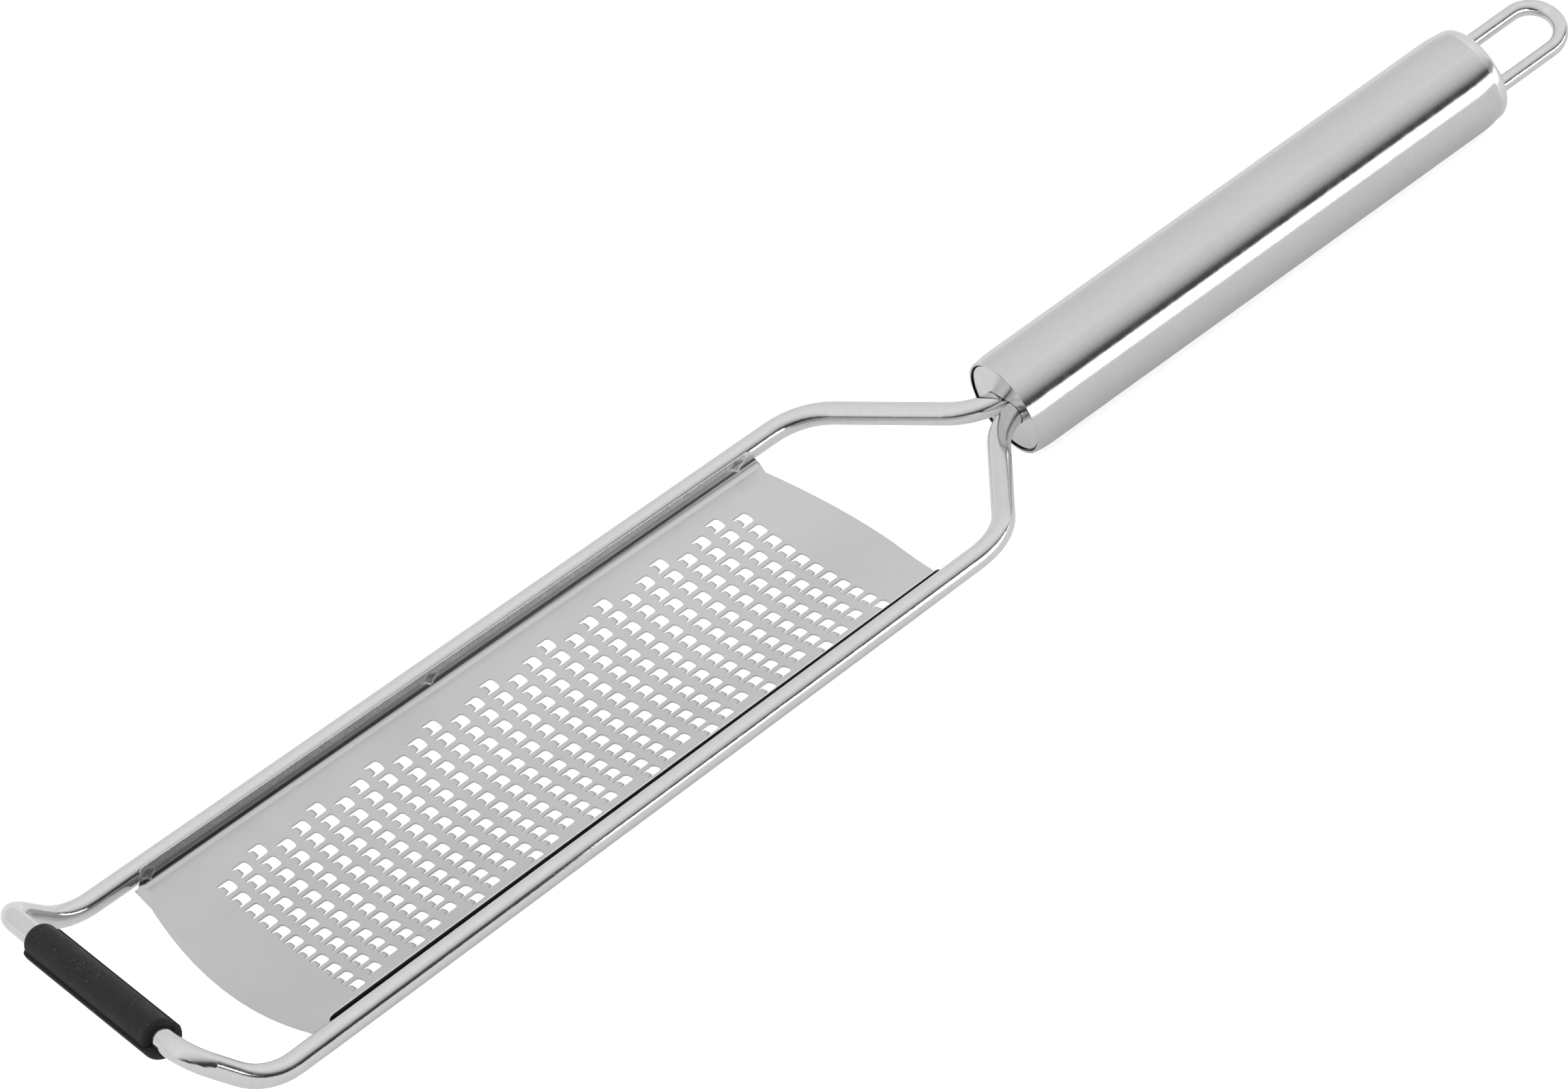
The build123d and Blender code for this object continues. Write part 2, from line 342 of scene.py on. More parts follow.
def face_up(obj):
    """Turns a sheet's faces over if they look down."""
    total = sum(polygon.normal.z * polygon.area for polygon in obj.data.polygons)
    if total < 0:
        open_mesh(obj)
        bpy.ops.mesh.select_all(action="SELECT")
        bpy.ops.mesh.flip_normals()
        bpy.ops.object.mode_set(mode="OBJECT")


def toothed_row(tile, sizes, step):
    """One row of teeth, moved sideways by a step, with plain sheet at both ends."""
    pitch = sizes.pitch
    third = pitch / 3
    row = copy_of(tile, y=-(sizes.columns - 1) / 2 * pitch + step * third)
    repeat(row, sizes.columns, y=pitch)
    end = sizes.columns / 2 * pitch
    inner = end + 2 * third
    outer = inner + 5 * third
    parts = [row]
    for side in (1, -1):
        start = side * end + step * third
        cells = 2 - side * step
        low, high = sorted((start, side * inner))
        parts.append(plate("margin", -pitch / 2, pitch / 2, low, high, 1, cells))
        low, high = sorted((side * inner, side * outer))
        parts.append(plate("margin", -pitch / 2, pitch / 2, low, high))
    return join(*parts)


def flat_sheet(sizes):
    """The whole sheet before it is bent: rows of teeth between two plain ends."""
    pitch = sizes.pitch
    third = pitch / 3
    tile = tooth_tile(sizes)
    rows = [toothed_row(tile, sizes, step) for step in (1, -1, 0)]
    last = copy_of(rows[0], x=(sizes.rows - 1) * pitch)
    for place, row in enumerate(rows):
        row.location.x = place * pitch
        settle(row)
    group = join(*rows)
    repeat(group, sizes.rows // 3, x=3 * pitch)
    inner = sizes.columns / 2 * pitch + 2 * third
    outer = inner + 5 * third
    rear = sizes.rear_edge - sizes.bulge - 4 * MM - sizes.first_row
    front = sizes.front_edge + sizes.bulge + 3 * MM - sizes.first_row
    end = (sizes.rows - 0.5) * pitch
    cells = round(2 * inner / third)
    parts = [group, last]
    for low, high, count in ((rear, -pitch / 2, 3), (end, front, 3)):
        parts.append(plate("blank", low, high, -inner, inner, count, cells))
        parts.append(plate("blank", low, high, inner, outer, count, 1))
        parts.append(plate("blank", low, high, -outer, -inner, count, 1))
    sheet = join(*parts)
    sheet.location.x = sizes.first_row
    settle(sheet)
    open_mesh(sheet)
    bpy.ops.mesh.select_all(action="SELECT")
    bpy.ops.mesh.remove_doubles(threshold=0.01 * MM)
    bpy.ops.mesh.normals_make_consistent(inside=False)
    put_down()
    face_up(sheet)
    bpy.data.objects.remove(tile)
    return sheet


def bend_trough(sheet, sizes):
    """Bends the flat sheet to a shallow trough about the long axis."""
    sheet.scale.y = 1.0033
    settle(sheet)
    sheet.rotation_euler = (-math.pi / 2, 0, 0)
    settle(sheet)
    spread = sheet.dimensions.z
    bend = sheet.modifiers.new("bend", "SIMPLE_DEFORM")
    bend.deform_method = "BEND"
    bend.deform_axis = "X"
    bend.angle = spread / sizes.trough_radius
    bpy.ops.object.modifier_apply(modifier=bend.name)
    sheet.rotation_euler = (math.pi / 2, 0, 0)
    sheet.location.z = sizes.trough_bottom
    settle(sheet)


def trim_ends(sheet, sizes):
    """Cuts both curved ends and the two long sides, and draws out a small ear at each corner."""
    steps = 12
    open_mesh(sheet)
    for side in (1, -1):
        fold_y = side * (rail_y(0) - FLANGE_OFFSET)
        cut((0, fold_y, 0), (-RAIL_SPREAD, side, 0), keep_both=False)
    ends = ((sizes.front_edge, 1, sizes.front_ear), (sizes.rear_edge, -1, sizes.rear_ear))
    for edge, out, reach in ends:
        corner_y = rail_y(edge) - SEAT_OFFSET - EAR_WIDTH
        radius = (corner_y**2 + sizes.bulge**2) / (2 * sizes.bulge)
        centre_x = edge + out * (sizes.bulge - radius)
        limit = math.asin(corner_y / radius)
        turns = [limit * (2 * place / steps - 1) for place in range(steps + 1)]
        points = [
            Vector((centre_x + out * radius * math.cos(turn), radius * math.sin(turn), 0))
            for turn in turns
        ]
        for first, second in zip(points, points[1:]):
            if out < 0 and first.y > sizes.straight_from:
                continue
            along = second - first
            normal = Vector((along.y, -along.x, 0)) * out
            cut(first, normal, keep_both=False)
        for side in (1, -1):

            def at_fold(vertex):
                return near(vertex.co.y, side * (rail_y(vertex.co.x) - FLANGE_OFFSET))

            verts = bmesh.from_edit_mesh(sheet.data).verts
            corner = max((v.co.x * out, v.co.x) for v in verts if at_fold(v))[1]
            choose("VERT", lambda v: near(v.co.x, corner) and at_fold(v))
            slide(x=edge + out * reach - corner)
    bpy.ops.object.mode_set(mode="OBJECT")


def raise_flanges(sheet, sizes):
    """Folds an upright flange along each rail and rounds the fold and the flange's ends."""
    start = sizes.rear_edge - sizes.rear_ear + 0.5 * MM
    end = sizes.front_edge - 1.5 * MM
    top = sizes.flange_top

    def along_rail(item):
        fold_y = rail_y(middle(item).x) - FLANGE_OFFSET
        return near(abs(middle(item).y), fold_y, 0.03 * MM)

    open_mesh(sheet)
    cut((start, 0, 0), (1, 0, 0))
    cut((end, 0, 0), (1, 0, 0))
    choose("EDGE", lambda e: e.is_boundary and along_rail(e) and start < middle(e).x < end)
    bpy.ops.mesh.extrude_edges_move(TRANSFORM_OT_translate={"value": (0, 0, 2 * MM)})
    bpy.ops.transform.resize(value=(1, 1, 0), center_override=(0, 0, top))
    bpy.ops.transform.rotate(
        value=sizes.flange_taper / (end - start),
        orient_axis="Y",
        center_override=((start + end) / 2, 0, top),
    )
    choose(
        "EDGE",
        lambda e: not e.is_boundary
        and along_rail(e)
        and start < middle(e).x < end
        and middle(e).z < top - 1 * MM
        and near(e.verts[0].co.z, e.verts[1].co.z, 0.15 * MM),
    )
    bpy.ops.mesh.bevel(offset=sizes.fold_size, segments=6, affect="EDGES", clamp_overlap=False)
    choose(
        "VERT",
        lambda v: near(v.co.z, top, 0.4 * MM)
        and (near(v.co.x, start, 0.1 * MM) or near(v.co.x, end, 0.1 * MM)),
    )
    bpy.ops.mesh.bevel(offset=1.2 * MM, segments=4, affect="VERTICES")
    bpy.ops.object.mode_set(mode="OBJECT")


def give_thickness(obj, thickness):
    """Thickens a sheet away from the side that its faces look to."""
    pick_up(obj)
    wall = obj.modifiers.new("wall", "SOLIDIFY")
    wall.thickness = thickness
    wall.offset = -1
    wall.use_even_offset = True
    bpy.ops.object.modifier_apply(modifier=wall.name)


# Shared effects


def new_group(name, inputs, outputs):
    """An empty node group with named inputs and outputs."""
    group = bpy.data.node_groups.new(name, "ShaderNodeTree")
    for label, kind, value in inputs:
        socket = group.interface.new_socket(label, in_out="INPUT", socket_type=kind)
        socket.default_value = value
    for label, kind in outputs:
        group.interface.new_socket(label, in_out="OUTPUT", socket_type=kind)
    return group, group.nodes.new("NodeGroupInput"), group.nodes.new("NodeGroupOutput")


def node(tree, kind, **values):
    """A node with its settings and the default values of its inputs."""
    made = tree.nodes.new(kind)
    for label, value in values.items():
        if hasattr(made, label):
            setattr(made, label, value)
        else:
            made.inputs[label.replace("_", " ")].default_value = value
    return made


def grain_group():
    """Fine lines along one direction. The stretch is how often they change along each axis."""
    group, given, result = new_group(
        "brushed_lines",
        [("Stretch", "NodeSocketVector", (1, 1, 1)), ("Detail", "NodeSocketFloat", 4.0)],
        [("Lines", "NodeSocketFloat"), ("Streaks", "NodeSocketFloat")],
    )
    link = group.links.new
    place = node(group, "ShaderNodeTexCoord")
    stretch = node(group, "ShaderNodeVectorMath", operation="MULTIPLY")
    link(place.outputs["Object"], stretch.inputs[0])
    link(given.outputs["Stretch"], stretch.inputs[1])
    fine = node(group, "ShaderNodeTexNoise", Scale=1.0, Roughness=0.65)
    link(stretch.outputs[0], fine.inputs["Vector"])
    link(given.outputs["Detail"], fine.inputs["Detail"])
    link(fine.outputs["Fac"], result.inputs["Lines"])
    wide = node(group, "ShaderNodeTexNoise", Scale=0.17, Detail=3.0, Roughness=0.5)
    link(stretch.outputs[0], wide.inputs["Vector"])
    link(wide.outputs["Fac"], result.inputs["Streaks"])
    return group


def mottle_group():
    """Soft cloudy change over the surface."""
    group, given, result = new_group(
        "soft_mottle",
        [("Size", "NodeSocketFloat", 100.0)],
        [("Mottle", "NodeSocketFloat")],
    )
    link = group.links.new
    place = node(group, "ShaderNodeTexCoord")
    cloud = node(group, "ShaderNodeTexNoise", Detail=3.0, Roughness=0.55)
    link(place.outputs["Object"], cloud.inputs["Vector"])
    link(given.outputs["Size"], cloud.inputs["Scale"])
    link(cloud.outputs["Fac"], result.inputs["Mottle"])
    return group


def speck_group():
    """Scattered specks, in patches."""
    group, given, result = new_group(
        "dust_specks",
        [("Size", "NodeSocketFloat", 1500.0), ("Level", "NodeSocketFloat", 0.7)],
        [("Specks", "NodeSocketFloat")],
    )
    link = group.links.new
    place = node(group, "ShaderNodeTexCoord")
    cells = node(group, "ShaderNodeTexVoronoi")
    link(place.outputs["Object"], cells.inputs["Vector"])
    link(given.outputs["Size"], cells.inputs["Scale"])
    dot = node(group, "ShaderNodeMapRange")
    dot.inputs["From Min"].default_value = 0.22
    dot.inputs["From Max"].default_value = 0.08
    link(cells.outputs["Distance"], dot.inputs["Value"])
    tint = node(group, "ShaderNodeSeparateColor")
    link(cells.outputs["Color"], tint.inputs["Color"])
    patch = node(group, "ShaderNodeTexNoise", Scale=260.0, Detail=2.0)
    link(place.outputs["Object"], patch.inputs["Vector"])
    both = node(group, "ShaderNodeMath", operation="ADD")
    link(tint.outputs["Red"], both.inputs[0])
    link(patch.outputs["Fac"], both.inputs[1])
    over = node(group, "ShaderNodeMath", operation="SUBTRACT")
    link(both.outputs[0], over.inputs[0])
    link(given.outputs["Level"], over.inputs[1])
    chosen = node(group, "ShaderNodeMath", operation="MULTIPLY", use_clamp=True)
    link(over.outputs[0], chosen.inputs[0])
    chosen.inputs[1].default_value = 4.0
    mask = node(group, "ShaderNodeMath", operation="MULTIPLY", use_clamp=True)
    link(chosen.outputs[0], mask.inputs[0])
    link(dot.outputs["Result"], mask.inputs[1])
    link(mask.outputs[0], result.inputs["Specks"])
    return group


def effects():
    """The shared effects, built once."""
    makers = {"brushed_lines": grain_group, "soft_mottle": mottle_group, "dust_specks": speck_group}
    return {name: bpy.data.node_groups.get(name) or make() for name, make in makers.items()}


def effect(tree, name, **values):
    """Places a shared effect in a material."""
    made = tree.nodes.new("ShaderNodeGroup")
    made.node_tree = effects()[name]
    for label, value in values.items():
        made.inputs[label].default_value = value
    return made


# Materials


def new_material(name, metallic):
    """A material with a Principled shader and nothing linked."""
    material = bpy.data.materials.new(name)
    material.use_nodes = True
    tree = material.node_tree
    shader = tree.nodes["Principled BSDF"]
    shader.inputs["Metallic"].default_value = metallic
    return material, tree, shader


def ranged(tree, value, low, high, start=0.0, end=1.0):
    """Maps a value to a range."""
    made = node(tree, "ShaderNodeMapRange")
    made.inputs["From Min"].default_value = start
    made.inputs["From Max"].default_value = end
    made.inputs["To Min"].default_value = low
    made.inputs["To Max"].default_value = high
    tree.links.new(value, made.inputs["Value"])
    return made.outputs["Result"]


def blended(tree, factor, first, second):
    """Mixes two colours, each a colour or a socket."""
    made = node(tree, "ShaderNodeMix", data_type="RGBA")
    tree.links.new(factor, made.inputs[0])
    for socket, value in ((made.inputs[6], first), (made.inputs[7], second)):
        if isinstance(value, bpy.types.NodeSocket):
            tree.links.new(value, socket)
        else:
            socket.default_value = (*value, 1.0)
    return made.outputs[2]


def maths(tree, operation, first, second=None):
    """One step of arithmetic on values or sockets."""
    made = node(tree, "ShaderNodeMath", operation=operation)
    for socket, value in ((made.inputs[0], first), (made.inputs[1], second)):
        if isinstance(value, bpy.types.NodeSocket):
            tree.links.new(value, socket)
        elif value is not None:
            socket.default_value = value
    return made.outputs[0]


def bumped(tree, shader, height, depth, strength=1.0):
    """Feeds a height into the shader's normal."""
    made = node(tree, "ShaderNodeBump", Strength=strength, Distance=depth)
    tree.links.new(height, made.inputs["Height"])
    tree.links.new(made.outputs["Normal"], shader.inputs["Normal"])


def tinted(value, share):
    """A colour made lighter or darker."""
    return tuple(min(1.0, part * share) for part in value)


def blade_material(finish):
    """Satin sheet steel. The flanges are brushed across, and each has three pressed weld spots. Its
    colour also holds painted light: lighter towards the handle, painted shade on the flanges and
    their outer faces, a painted shadow along their foot, and painted highlights on their upper band
    and round the weld spots.
    """
    material, tree, shader = new_material("blade_satin_steel", 1.0)
    link = tree.links.new
    mottle = effect(tree, "soft_mottle", Size=45.0)
    lines = effect(tree, "brushed_lines", Stretch=(600, 9000, 9000), Detail=3.0)
    across = effect(tree, "brushed_lines", Stretch=(5200, 1300, 1300), Detail=5.0)
    place = node(tree, "ShaderNodeTexCoord")
    split = node(tree, "ShaderNodeSeparateXYZ")
    link(place.outputs["Object"], split.inputs[0])
    side = maths(tree, "ABSOLUTE", split.outputs["Y"])
    # Mask of each flange's upper band: brushed across, and lightened as a painted highlight.
    high = ranged(tree, split.outputs["Z"], 0, 1, 10.9 * MM, 11.2 * MM)
    # Painted shadow: a near black band along the foot of each flange, at the fold.
    foot = maths(tree, "ABSOLUTE", maths(tree, "SUBTRACT", split.outputs["Z"], 9.95 * MM))
    foot = ranged(tree, foot, 1, 0, 0.22 * MM, 0.36 * MM)
    # Painted shade: mask of the flanges above the fold, which are made darker than the sheet.
    low = ranged(tree, split.outputs["Z"], 0, 1, 9.95 * MM, 10.25 * MM)
    spots = None
    for spot_x in WELD_PLACES:
        away = maths(tree, "SUBTRACT", split.outputs["X"], spot_x * MM)
        away = maths(tree, "ABSOLUTE", away)
        rise = maths(tree, "SUBTRACT", split.outputs["Z"], WELD_HEIGHT)
        rise = maths(tree, "ABSOLUTE", rise)
        gap = maths(tree, "ADD", maths(tree, "MULTIPLY", away, 0.6), rise)
        spots = gap if spots is None else maths(tree, "MINIMUM", spots, gap)
    worn = effect(tree, "soft_mottle", Size=900.0)
    uneven = maths(tree, "MULTIPLY", worn.outputs["Mottle"], 0.9 * MM)
    spots = maths(tree, "SUBTRACT", maths(tree, "ADD", spots, uneven), 0.45 * MM)
    # Weld spots: darker in the middle, and a painted highlight round each rim.
    dent = ranged(tree, spots, 1, 0, 0.6 * MM, 0.95 * MM)
    painted_rim_highlight = maths(tree, "ABSOLUTE", maths(tree, "SUBTRACT", spots, 1.1 * MM))
    painted_rim_highlight = ranged(tree, painted_rim_highlight, 1, 0, 0.04 * MM, 0.3 * MM)
    # Painted light: the blade's colour is made lighter towards the handle end.
    painted_rear_light = ranged(tree, split.outputs["X"], 0.5, 0, 0, 120 * MM)
    cloudy = ranged(tree, mottle.outputs["Mottle"], 0, 0.5, 0.3, 0.7)
    base = blended(
        tree,
        maths(tree, "ADD", painted_rear_light, cloudy),
        tinted(finish.blade_colour, 0.97),
        tinted(finish.blade_colour, 1.14),
    )
    # Brushed lines painted 1.1 to 1.7 times lighter than the blade: grain and a painted highlight.
    scratches_and_painted_highlight = blended(
        tree,
        ranged(tree, across.outputs["Lines"], 0, 1, 0.35, 0.65),
        tinted(finish.blade_colour, 1.1),
        tinted(finish.blade_colour, 1.7),
    )
    # Painted shade on the flanges: 0.82 of the blade colour.
    base = blended(tree, low, base, tinted(finish.blade_colour, 0.82))
    base = blended(tree, high, base, scratches_and_painted_highlight)
    # Painted shadow in the crease at the flanges' foot: 0.16 of the blade colour.
    base = blended(tree, foot, base, tinted(finish.blade_colour, 0.16))
    dent = maths(tree, "MULTIPLY", dent, 0.6)
    base = blended(tree, dent, base, tinted(finish.blade_colour, 0.5))
    painted_rim_highlight = maths(tree, "MULTIPLY", painted_rim_highlight, 0.55)
    base = blended(tree, painted_rim_highlight, base, tinted(finish.blade_colour, 1.7))
    # Painted shade: the flanges' outer faces, in the gap against the wires, are made near black.
    rail = maths(tree, "MULTIPLY_ADD", split.outputs["X"], RAIL_SPREAD)
    rail.node.inputs[2].default_value = rail_y(0) - SEAT_OFFSET - 0.08 * MM
    painted_gap_shade = ranged(tree, maths(tree, "SUBTRACT", side, rail), 0, 1, 0, 0.04 * MM)
    base = blended(tree, painted_gap_shade, base, tinted(finish.blade_colour, 0.22))
    link(base, shader.inputs["Base Color"])
    rough = ranged(
        tree,
        lines.outputs["Lines"],
        finish.blade_polish - 0.03,
        finish.blade_polish + 0.03,
    )
    link(rough, shader.inputs["Roughness"])
    flange_lines = maths(tree, "MULTIPLY", across.outputs["Lines"], high)
    sheet_lines = maths(tree, "MULTIPLY", lines.outputs["Lines"], 0.12)
    height = maths(tree, "ADD", sheet_lines, flange_lines)
    pressed = ranged(tree, spots, -4.0, 0, 0.2 * MM, 1.1 * MM)
    bumped(tree, shader, maths(tree, "ADD", height, pressed), 0.03 * MM, 0.8)
    return material


def wire_material(name, finish, darkest):
    """Drawn and polished steel wire with faint lengthwise streaks."""
    material, tree, shader = new_material(name, 1.0)
    link = tree.links.new
    mottle = effect(tree, "soft_mottle", Size=700.0)
    lines = effect(tree, "brushed_lines", Stretch=(900, 3900, 3900), Detail=4.0)
    tint = maths(tree, "MULTIPLY", mottle.outputs["Mottle"], lines.outputs["Lines"])
    link(
        blended(
            tree,
            ranged(tree, tint, 0, 1, 0.15, 0.4),
            tinted(finish.wire_colour, darkest),
            finish.wire_colour,
        ),
        shader.inputs["Base Color"],
    )
    link(
        ranged(tree, tint, finish.wire_polish - 0.02, finish.wire_polish + 0.05, 0.12, 0.42),
        shader.inputs["Roughness"],
    )
    bumped(tree, shader, lines.outputs["Lines"], 0.016 * MM, 0.6)
    return material


def handle_material(finish):
    """Tube steel, brushed round the handle."""
    material, tree, shader = new_material("handle_brushed_steel", 1.0)
    link = tree.links.new
    lines = effect(tree, "brushed_lines", Stretch=(3600, 620, 620), Detail=5.0)
    mottle = effect(tree, "soft_mottle", Size=60.0)
    cloudy = maths(tree, "MULTIPLY", mottle.outputs["Mottle"], 0.4)
    tint = maths(tree, "ADD", lines.outputs["Lines"], cloudy)
    link(
        blended(
            tree,
            ranged(tree, tint, 0, 1, 0.45, 0.95),
            tinted(finish.handle_colour, 0.965),
            tinted(finish.handle_colour, 1.035),
        ),
        shader.inputs["Base Color"],
    )
    link(
        ranged(
            tree,
            lines.outputs["Streaks"],
            finish.handle_polish - 0.03,
            finish.handle_polish + 0.04,
            0.3,
            0.7,
        ),
        shader.inputs["Roughness"],
    )
    bumped(tree, shader, lines.outputs["Lines"], 0.024 * MM, 0.6)
    return material


def plug_material(name, finish, roughness):
    """Turned steel of the disc and the cap, smoother than the tube."""
    material, tree, shader = new_material(name, 1.0)
    link = tree.links.new
    mottle = effect(tree, "soft_mottle", Size=420.0)
    specks = effect(tree, "dust_specks", Size=1300.0, Level=1.32)
    base = blended(
        tree,
        ranged(tree, mottle.outputs["Mottle"], 0, 1, 0.3, 0.7),
        tinted(finish.plug_colour, 0.95),
        tinted(finish.plug_colour, 1.04),
    )
    base = blended(tree, specks.outputs["Specks"], base, tinted(finish.plug_colour, 0.45))
    link(base, shader.inputs["Base Color"])
    link(
        ranged(tree, mottle.outputs["Mottle"], roughness - 0.03, roughness + 0.05, 0.3, 0.7),
        shader.inputs["Roughness"],
    )
    bumped(tree, shader, mottle.outputs["Mottle"], 0.01 * MM, 0.4)
    return material


def rubber_material(finish):
    """Matt black rubber with dust and fine scuffs."""
    material, tree, shader = new_material("foot_black_rubber", 0.0)
    link = tree.links.new
    dust = effect(tree, "dust_specks", Size=1500.0, Level=1.27)
    grit = effect(tree, "dust_specks", Size=2600.0, Level=1.1)
    scuffs = effect(tree, "brushed_lines", Stretch=(900, 500, 1400), Detail=2.0)
    mottle = effect(tree, "soft_mottle", Size=300.0)
    line = maths(tree, "ABSOLUTE", maths(tree, "SUBTRACT", scuffs.outputs["Lines"], 0.5))
    line = ranged(tree, line, 1, 0, 0.002, 0.009)
    patches = ranged(tree, mottle.outputs["Mottle"], 0, 0.35, 0.5, 0.66)
    line = maths(tree, "MULTIPLY", line, patches)
    base = blended(
        tree,
        ranged(tree, mottle.outputs["Mottle"], 0, 1, 0.3, 0.7),
        tinted(finish.rubber_colour, 0.85),
        tinted(finish.rubber_colour, 1.25),
    )
    fine = maths(tree, "MULTIPLY", grit.outputs["Specks"], 0.35)
    marks = maths(tree, "MAXIMUM", dust.outputs["Specks"], fine)
    marks = maths(tree, "MULTIPLY", maths(tree, "MAXIMUM", marks, line), 0.7)
    link(blended(tree, marks, base, finish.dust_colour), shader.inputs["Base Color"])
    smooth, rough = finish.rubber_polish - 0.08, finish.rubber_polish + 0.08
    link(
        ranged(tree, mottle.outputs["Mottle"], smooth, rough, 0.3, 0.7),
        shader.inputs["Roughness"],
    )
    shader.inputs["Specular IOR Level"].default_value = 0.28
    height = maths(tree, "ADD", scuffs.outputs["Lines"], marks)
    bumped(tree, shader, height, 0.02 * MM, 0.5)
    return material


def dress(node_name, material):
    """Gives a CAD node a finish in every slot, with smooth shading left as it came."""
    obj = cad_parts[node_name]
    if not obj.material_slots:
        obj.data.materials.append(material)
    for place in obj.material_slots:
        place.material = material


# Studio


def world_light(studio):
    """A soft surround: dim just above the floor on the near side, light grey overhead."""
    world = bpy.data.worlds.new("studio_surround")
    bpy.context.scene.world = world
    world.use_nodes = True
    tree = world.node_tree
    tree.nodes.clear()
    link = tree.links.new
    place = node(tree, "ShaderNodeTexCoord")
    split = node(tree, "ShaderNodeSeparateXYZ")
    link(place.outputs["Generated"], split.inputs[0])
    turn = node(tree, "ShaderNodeMath", operation="ARCTAN2")
    link(split.outputs["Z"], turn.inputs[0])
    link(split.outputs["Y"], turn.inputs[1])
    share = maths(tree, "DIVIDE", turn.outputs[0], math.pi)
    ramp = node(tree, "ShaderNodeValToRGB")
    # Place from the near side's horizon over the top to the far side's, and brightness
    stops = [
        (0.0, 0.06),
        (0.06, 0.05),
        (0.13, 0.1),
        (0.165, 0.38),
        (0.22, 0.66),
        (0.3, 0.86),
        (0.42, 1.0),
        (0.64, 0.95),
        (0.83, 0.86),
        (0.96, 0.86),
        (1.0, 1.2),
    ]
    shades = ramp.color_ramp.elements
    while len(shades) < len(stops):
        shades.new(0.5)
    for shade, (where, value) in zip(shades, stops):
        shade.position = where
        shade.color = (value, value, value, 1)
    link(share, ramp.inputs["Fac"])
    soft = node(tree, "ShaderNodeBackground", Strength=studio.surround)
    link(ramp.outputs["Color"], soft.inputs["Color"])
    white = node(tree, "ShaderNodeBackground", Strength=1.0)
    white.inputs["Color"].default_value = (1, 1, 1, 1)
    rays = node(tree, "ShaderNodeLightPath")
    pick = node(tree, "ShaderNodeMixShader")
    link(rays.outputs["Is Camera Ray"], pick.inputs["Fac"])
    link(soft.outputs[0], pick.inputs[1])
    link(white.outputs[0], pick.inputs[2])
    out = node(tree, "ShaderNodeOutputWorld")
    link(pick.outputs[0], out.inputs["Surface"])


def floor_material(studio):
    """Pale floor that stays white to the camera and to polished steel, and keeps its shadow."""
    material, tree, shader = new_material("pale_floor", 0.0)
    link = tree.links.new
    shader.inputs["Base Color"].default_value = (*studio.floor_colour, 1)
    shader.inputs["Roughness"].default_value = 1.0
    shader.inputs["Specular IOR Level"].default_value = 0.0
    lift = node(tree, "ShaderNodeEmission")
    rays = node(tree, "ShaderNodeLightPath")
    seen = maths(tree, "MULTIPLY", rays.outputs["Is Camera Ray"], studio.floor_lift)
    polished = maths(
        tree, "MAXIMUM", rays.outputs["Is Glossy Ray"], rays.outputs["Is Transmission Ray"]
    )
    polished = maths(tree, "MULTIPLY", polished, studio.floor_glow)
    link(maths(tree, "ADD", seen, polished), lift.inputs["Strength"])
    both = node(tree, "ShaderNodeAddShader")
    link(shader.outputs[0], both.inputs[0])
    link(lift.outputs[0], both.inputs[1])
    link(both.outputs[0], tree.nodes["Material Output"].inputs["Surface"])
    return material


def lay_floor(studio):
    """A wide flat floor under the object."""
    ground = plate("studio_floor", -6.0, 6.0, -6.0, 6.0, 8, 8)
    ground.data.materials.append(floor_material(studio))


def stand_card(studio):
    """A white card beside the handle, flat and then upright, that only polished steel sees."""
    near_edge, far_edge, height = 66 * MM, 300 * MM, 68 * MM
    card = plate("studio_card", -0.8, -0.01, near_edge, far_edge, 4, 4)
    open_mesh(card)
    choose("EDGE", lambda e: e.is_boundary and near(middle(e).y, far_edge))
    bpy.ops.mesh.extrude_edges_move(TRANSFORM_OT_translate={"value": (0, 0, height)})
    bpy.ops.object.mode_set(mode="OBJECT")
    card.location.z = 1 * MM
    settle(card)
    material, tree, shader = new_material("card_white", 0.0)
    shader.inputs["Base Color"].default_value = (0.9, 0.9, 0.9, 1)
    shader.inputs["Emission Color"].default_value = (1, 1, 1, 1)
    shader.inputs["Emission Strength"].default_value = studio.card_light
    card.data.materials.append(material)
    card.visible_camera = card.visible_diffuse = card.visible_shadow = False


def place_camera(studio):
    """The camera, at the photograph's angle."""
    lens = bpy.data.cameras.new("main_camera")
    lens.sensor_width = 36.0
    lens.lens = studio.lens
    lens.clip_start, lens.clip_end = 0.01, 60.0
    camera = bpy.data.objects.new("main_camera", lens)
    eye = Vector((0.40692, 0.91239, 0.72891))
    bpy.context.scene.collection.objects.link(camera)
    right = Vector((-0.77067, 0.563959, -0.296678))
    down = Vector((0.550936, 0.355729, -0.754935))
    forward = Vector((-0.320215, -0.745257, -0.584855))
    turn = Matrix((right, -down, -forward)).transposed().to_4x4()
    camera.matrix_world = Matrix.Translation(eye) @ turn
    bpy.context.scene.camera = camera


# Operators


class ZESTER_OT_grating_blade(bpy.types.Operator):
    """Models the pierced and folded blade"""

    bl_idname = "zester.grating_blade"
    bl_label = "Grating blade"

    def execute(self, context):
        sizes = context.scene.zester_blade
        blade = flat_sheet(sizes)
        bend_trough(blade, sizes)
        trim_ends(blade, sizes)
        raise_flanges(blade, sizes)
        give_thickness(blade, sizes.sheet)
        blade.name = blade.data.name = "pierced_blade"
        pick_up(blade)
        bpy.ops.object.shade_smooth_by_angle(angle=math.radians(32))
        blade.data.materials.clear()
        blade.data.materials.append(blade_material(context.scene.zester_finish))
        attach(blade, "root")
        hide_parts("grating_blade")
        put_down()
        return {"FINISHED"}


class ZESTER_OT_wires(bpy.types.Operator):
    """Finishes the wire frame and the hanging loop"""

    bl_idname = "zester.wires"
    bl_label = "Wires"

    def execute(self, context):
        finish = context.scene.zester_finish
        dress("frame_wire", wire_material("frame_polished_wire", finish, 0.95))
        dress("hanging_loop", wire_material("loop_polished_wire", finish, 0.91))
        return {"FINISHED"}


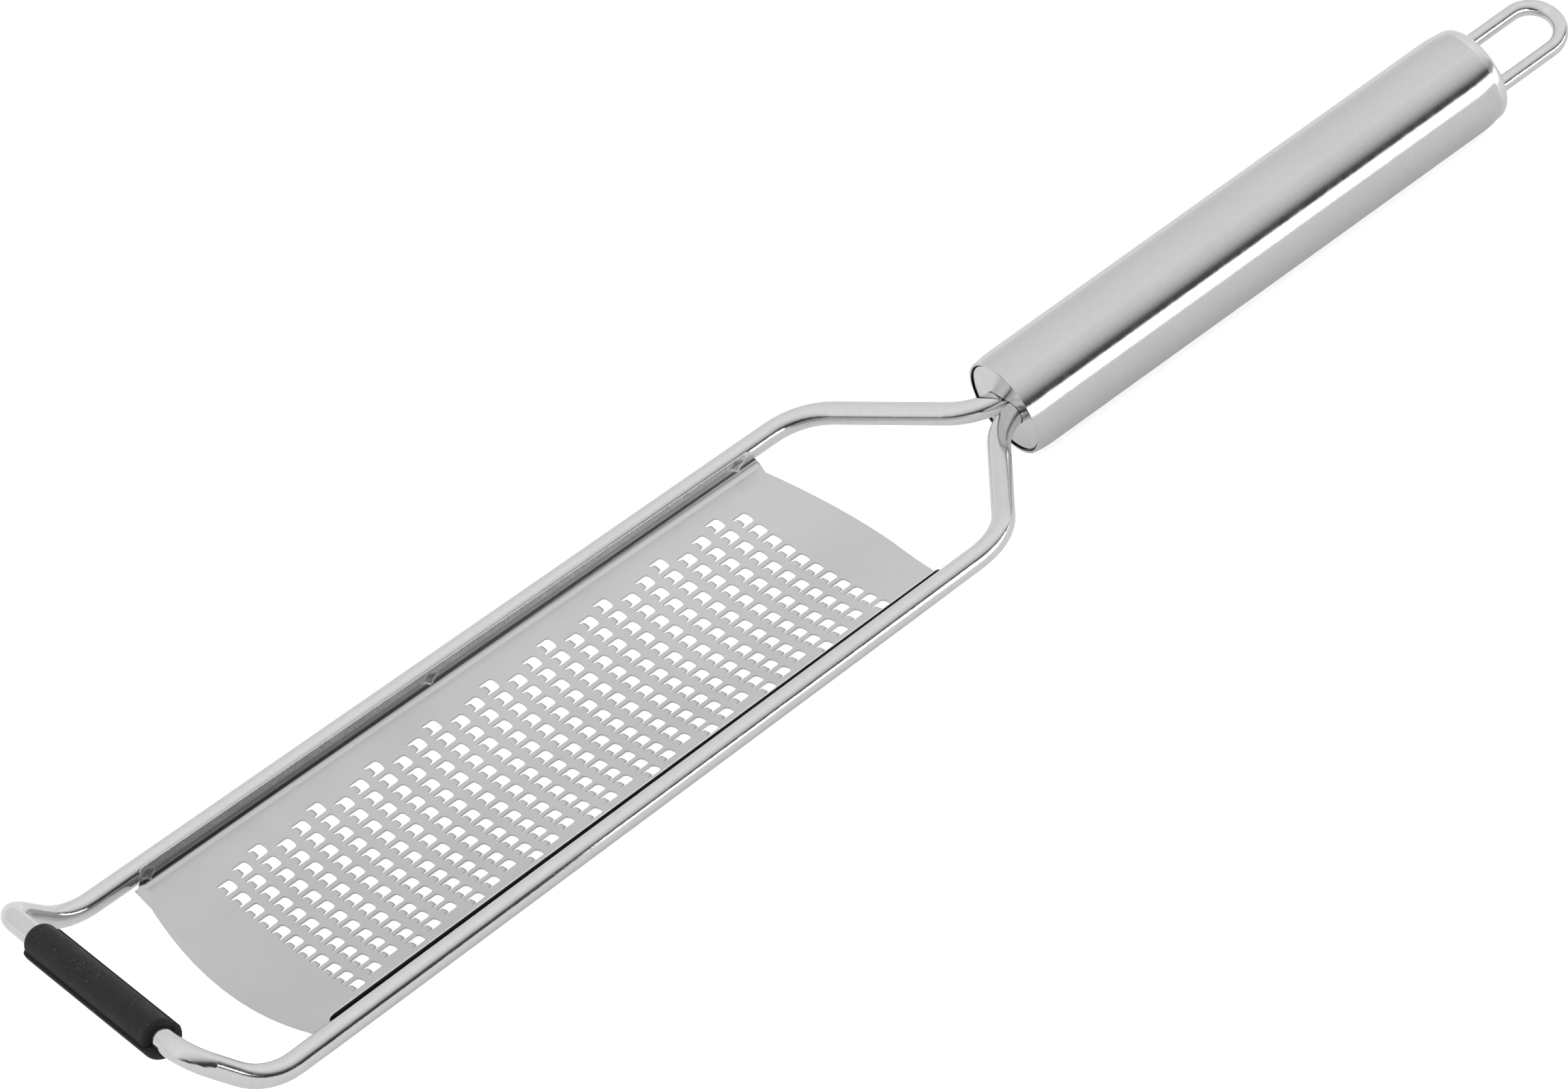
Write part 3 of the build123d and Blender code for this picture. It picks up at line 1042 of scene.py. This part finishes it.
class ZESTER_OT_handle(bpy.types.Operator):
    """Finishes the tube, the disc in its mouth and the cap"""

    bl_idname = "zester.handle"
    bl_label = "Handle"

    def execute(self, context):
        finish = context.scene.zester_finish
        dress("handle_tube", handle_material(finish))
        dress("front_plug", plug_material("disc_polished_steel", finish, finish.plug_polish))
        dress("rear_cap", plug_material("cap_satin_steel", finish, finish.plug_polish + 0.06))
        return {"FINISHED"}


class ZESTER_OT_foot(bpy.types.Operator):
    """Finishes the rubber foot"""

    bl_idname = "zester.foot"
    bl_label = "Foot"

    def execute(self, context):
        dress("foot_sleeve", rubber_material(context.scene.zester_finish))
        return {"FINISHED"}


class ZESTER_OT_stage(bpy.types.Operator):
    """Lays the floor, sets the light and places the camera"""

    bl_idname = "zester.stage"
    bl_label = "Studio"

    def execute(self, context):
        studio = context.scene.zester_studio
        bpy.context.scene.view_settings.view_transform = "Standard"
        world_light(studio)
        lay_floor(studio)
        stand_card(studio)
        place_camera(studio)
        return {"FINISHED"}


OPERATORS = (
    ZESTER_OT_grating_blade,
    ZESTER_OT_wires,
    ZESTER_OT_handle,
    ZESTER_OT_foot,
    ZESTER_OT_stage,
)


class ZESTER_PT_panel(bpy.types.Panel):
    """Lists the pieces and the studio"""

    bl_idname = "ZESTER_PT_panel"
    bl_label = "Rasp zester"
    bl_space_type = "VIEW_3D"
    bl_region_type = "UI"
    bl_category = "Zester"

    def draw(self, context):
        for operator in OPERATORS:
            self.layout.operator(operator.bl_idname)


CLASSES = (ZesterBlade, ZesterFinish, ZesterStudio, *OPERATORS, ZESTER_PT_panel)


def register():
    """Registers the classes and gives the scene its settings."""
    for item in CLASSES:
        bpy.utils.register_class(item)
    bpy.types.Scene.zester_blade = PointerProperty(type=ZesterBlade)
    bpy.types.Scene.zester_finish = PointerProperty(type=ZesterFinish)
    bpy.types.Scene.zester_studio = PointerProperty(type=ZesterStudio)


def unregister():
    """Takes the settings and the classes away again."""
    del bpy.types.Scene.zester_blade
    del bpy.types.Scene.zester_finish
    del bpy.types.Scene.zester_studio
    for item in reversed(CLASSES):
        bpy.utils.unregister_class(item)


def main():
    """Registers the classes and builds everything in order."""
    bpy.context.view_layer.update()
    register()
    bpy.ops.zester.grating_blade()
    bpy.ops.zester.wires()
    bpy.ops.zester.handle()
    bpy.ops.zester.foot()
    bpy.ops.zester.stage()


if __name__ == "__main__":
    main()
